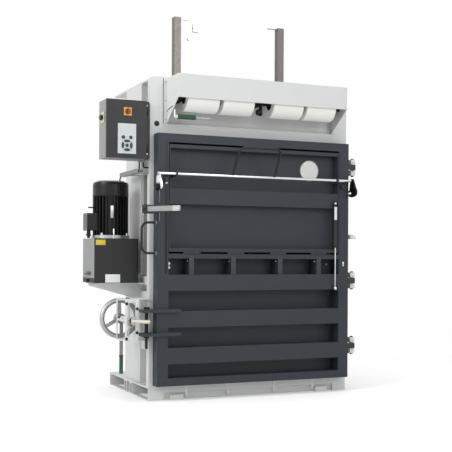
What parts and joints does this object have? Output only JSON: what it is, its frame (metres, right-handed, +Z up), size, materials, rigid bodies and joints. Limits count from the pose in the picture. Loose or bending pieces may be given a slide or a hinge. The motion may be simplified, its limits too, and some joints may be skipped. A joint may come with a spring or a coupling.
{
  "type": "vertical waste baler",
  "caption": "Upright waste-press baler with swinging front door, loading flap, platen on guide posts, oil tank with motor, control cabinet, wheel lock and strap hood.",
  "frame": {"origin": "on the floor, in the middle of the base frame's footprint", "axes": "+Z up, +X to the right as seen from the front, +Y to the back"},
  "size_m": [1.8605, 1.1937, 2.639],
  "materials": {
    "body_paint": "satin light grey powder coat",
    "door_paint": "satin anthracite powder coat",
    "black_paint": "satin black paint",
    "zinc_steel": "zinc plated steel",
    "drawn_steel": "drawn steel tube",
    "bright_chrome": "polished chrome",
    "cast_metal": "dark cast iron",
    "wheel_alloy": "cast and turned",
    "green_plastic": "moulded grip",
    "black_plastic": "moulded",
    "red_plastic": "moulded",
    "key_film": "printed film",
    "key_plastic": "moulded keys",
    "strap_white": "woven strap on a roll",
    "cable_jacket": "black jacket",
    "disc_plate": "blank plate"
  },
  "bodies": {
    "press_body": {"base_frame": "body_paint", "floor_stops": "body_paint", "front_posts": "body_paint", "press_chamber": "body_paint", "side_column_left": "body_paint", "side_column_right": "body_paint", "header_beam": "body_paint", "top_plate": "body_paint", "post_hinges": "zinc_steel", "press_cylinders": "black_paint", "lock_housing": "body_paint", "roll_hood": "body_paint", "roll_carrier": "black_paint", "strap_needle": "green_plastic", "oil_tank": "black_paint", "tank_bracket": "body_paint", "motor_body": "black_paint", "terminal_box": "black_paint", "fan_cowl": "black_paint", "cabinet_case": "body_paint", "cabinet_bracket": "black_paint", "control_cables": "cable_jacket", "cable_tray": "zinc_steel", "strap_ends": "strap_white"},
    "press_platen": {"platen": "body_paint", "guide_posts": "drawn_steel", "switch_plates": "zinc_steel", "press_rods": "bright_chrome"},
    "front_door": {"door_frame": "door_paint", "door_fittings": "door_paint", "lock_pin": "cast_metal", "strap_guides": "door_paint", "grab_handle": "door_paint"},
    "loading_flap": {"flap_panel": "door_paint", "blank_disc": "disc_plate"},
    "flap_latch": {"latch_rod": "bright_chrome", "pull_handle": "door_paint"},
    "strut_lower": {"strut_rod": "bright_chrome"},
    "strut_upper": {"strut_tube": "black_paint"},
    "lever": {"door_lever": "zinc_steel"},
    "wheel": {"hand_wheel": "wheel_alloy"},
    "spindle": {"lock_spindle": "zinc_steel"},
    "arm": {"lock_arm": "zinc_steel"},
    "ratchet": {"ratchet_lever": "cast_metal", "ratchet_grip": "green_plastic"},
    "control_door": {"cabinet_door": "black_paint", "key_panel": "key_film"},
    "main_switch": {"switch_knob": "red_plastic"},
    "stop_button": {"stop_knob": "black_plastic"},
    "roll_1": {"strap_roll_1": "strap_white"},
    "roll_2": {"strap_roll_2": "strap_white"},
    "roll_3": {"strap_roll_3": "strap_white"},
    "roll_4": {"strap_roll_4": "strap_white"},
    "key_left_push": {"key_left": "key_plastic"},
    "key_right_push": {"key_right": "key_plastic"},
    "key_centre_push": {"key_centre": "key_plastic"},
    "key_up_push": {"key_up": "key_plastic"},
    "key_down_push": {"key_down": "key_plastic"},
    "key_ring_left_push": {"key_ring_left": "key_plastic"},
    "key_ring_right_push": {"key_ring_right": "key_plastic"}
  },
  "joints": [
    {"name": "door_swing", "type": "hinge", "parent": "press_body", "child": "front_door", "pos_m": [0.762, -0.48, 0.8], "axis": [0, 0, 1], "range_deg": [0, 120]},
    {"name": "flap_fold", "type": "hinge", "parent": "front_door", "child": "loading_flap", "pos_m": [0, -0.519, 0.9685], "axis": [1, 0, 0], "range_deg": [0, 90]},
    {"name": "latch_turn", "type": "hinge", "parent": "loading_flap", "child": "flap_latch", "pos_m": [0, -0.557, 1.478], "axis": [1, 0, 0], "range_deg": [0, 22]},
    {"name": "strut_swing", "type": "hinge", "parent": "front_door", "child": "strut_lower", "pos_m": [0.59, -0.545, 0.728], "axis": [1, 0, 0], "range_deg": [0, 57]},
    {"name": "strut_slide", "type": "slide", "parent": "strut_lower", "child": "strut_upper", "axis": [0, 0, -1], "range_m": [0, 0.205]},
    {"name": "lever_swing", "type": "hinge", "parent": "front_door", "child": "lever", "pos_m": [-0.797, -0.533, 1.247], "axis": [0, 0, 1], "range_deg": [0, 56]},
    {"name": "platen_press", "type": "slide", "parent": "press_body", "child": "press_platen", "axis": [0, 0, -1], "range_m": [0, 0.48]},
    {"name": "cabinet_door_swing", "type": "hinge", "parent": "press_body", "child": "control_door", "pos_m": [-0.763, -0.464, 1.76], "axis": [0, 0, 1], "range_deg": [0, 110]},
    {"name": "main_switch_turn", "type": "hinge", "parent": "control_door", "child": "main_switch", "pos_m": [-0.902, -0.48, 1.871], "axis": [0, 1, 0], "range_deg": [0, 90]},
    {"name": "stop_push", "type": "slide", "parent": "press_body", "child": "stop_button", "axis": [1, 0, 0], "range_m": [0, 0.004], "stiffness_N_per_m": 1500},
    {"name": "wheel_turn", "type": "hinge", "parent": "press_body", "child": "wheel", "pos_m": [-0.866, -0.202, 0.53], "axis": [0, 1, 0], "range_deg": [0, 360]},
    {"name": "spindle_draw", "type": "slide", "parent": "press_body", "child": "spindle", "axis": [0, 1, 0], "range_m": [0, 0.006]},
    {"name": "arm_swing", "type": "hinge", "parent": "spindle", "child": "arm", "pos_m": [-0.866, -0.503, 0.53], "axis": [0, 0, 1], "range_deg": [0, 60]},
    {"name": "ratchet_swing", "type": "hinge", "parent": "spindle", "child": "ratchet", "pos_m": [-0.866, -0.25, 0.53], "axis": [0, 1, 0], "range_deg": [0, 60]},
    {"name": "roll_spin_1", "type": "hinge", "parent": "press_body", "child": "roll_1", "pos_m": [-0.433, -0.54, 1.972], "axis": [1, 0, 0], "continuous": true},
    {"name": "roll_spin_2", "type": "hinge", "parent": "press_body", "child": "roll_2", "pos_m": [-0.183, -0.54, 1.972], "axis": [1, 0, 0], "continuous": true},
    {"name": "roll_spin_3", "type": "hinge", "parent": "press_body", "child": "roll_3", "pos_m": [0.183, -0.54, 1.972], "axis": [1, 0, 0], "continuous": true},
    {"name": "roll_spin_4", "type": "hinge", "parent": "press_body", "child": "roll_4", "pos_m": [0.433, -0.54, 1.972], "axis": [1, 0, 0], "continuous": true},
    {"name": "key_left_press", "type": "slide", "parent": "control_door", "child": "key_left_push", "axis": [0, 1, 0], "range_m": [0, 0.0015], "stiffness_N_per_m": 1200},
    {"name": "key_right_press", "type": "slide", "parent": "control_door", "child": "key_right_push", "axis": [0, 1, 0], "range_m": [0, 0.0015], "stiffness_N_per_m": 1200},
    {"name": "key_centre_press", "type": "slide", "parent": "control_door", "child": "key_centre_push", "axis": [0, 1, 0], "range_m": [0, 0.0015], "stiffness_N_per_m": 1200},
    {"name": "key_up_press", "type": "slide", "parent": "control_door", "child": "key_up_push", "axis": [0, 1, 0], "range_m": [0, 0.0015], "stiffness_N_per_m": 1200},
    {"name": "key_down_press", "type": "slide", "parent": "control_door", "child": "key_down_push", "axis": [0, 1, 0], "range_m": [0, 0.0015], "stiffness_N_per_m": 1200},
    {"name": "key_ring_left_press", "type": "slide", "parent": "control_door", "child": "key_ring_left_push", "axis": [0, 1, 0], "range_m": [0, 0.0015], "stiffness_N_per_m": 1200},
    {"name": "key_ring_right_press", "type": "slide", "parent": "control_door", "child": "key_ring_right_push", "axis": [0, 1, 0], "range_m": [0, 0.0015], "stiffness_N_per_m": 1200}
  ],
  "couplings": [
    {"joint": "strut_swing", "follows": "flap_fold", "ratio": 0.6267},
    {"joint": "strut_slide", "follows": "flap_fold", "m_per_rad": 0.1286},
    {"joint": "spindle_draw", "follows": "wheel_turn", "m_per_rad": 0.0009549}
  ]
}
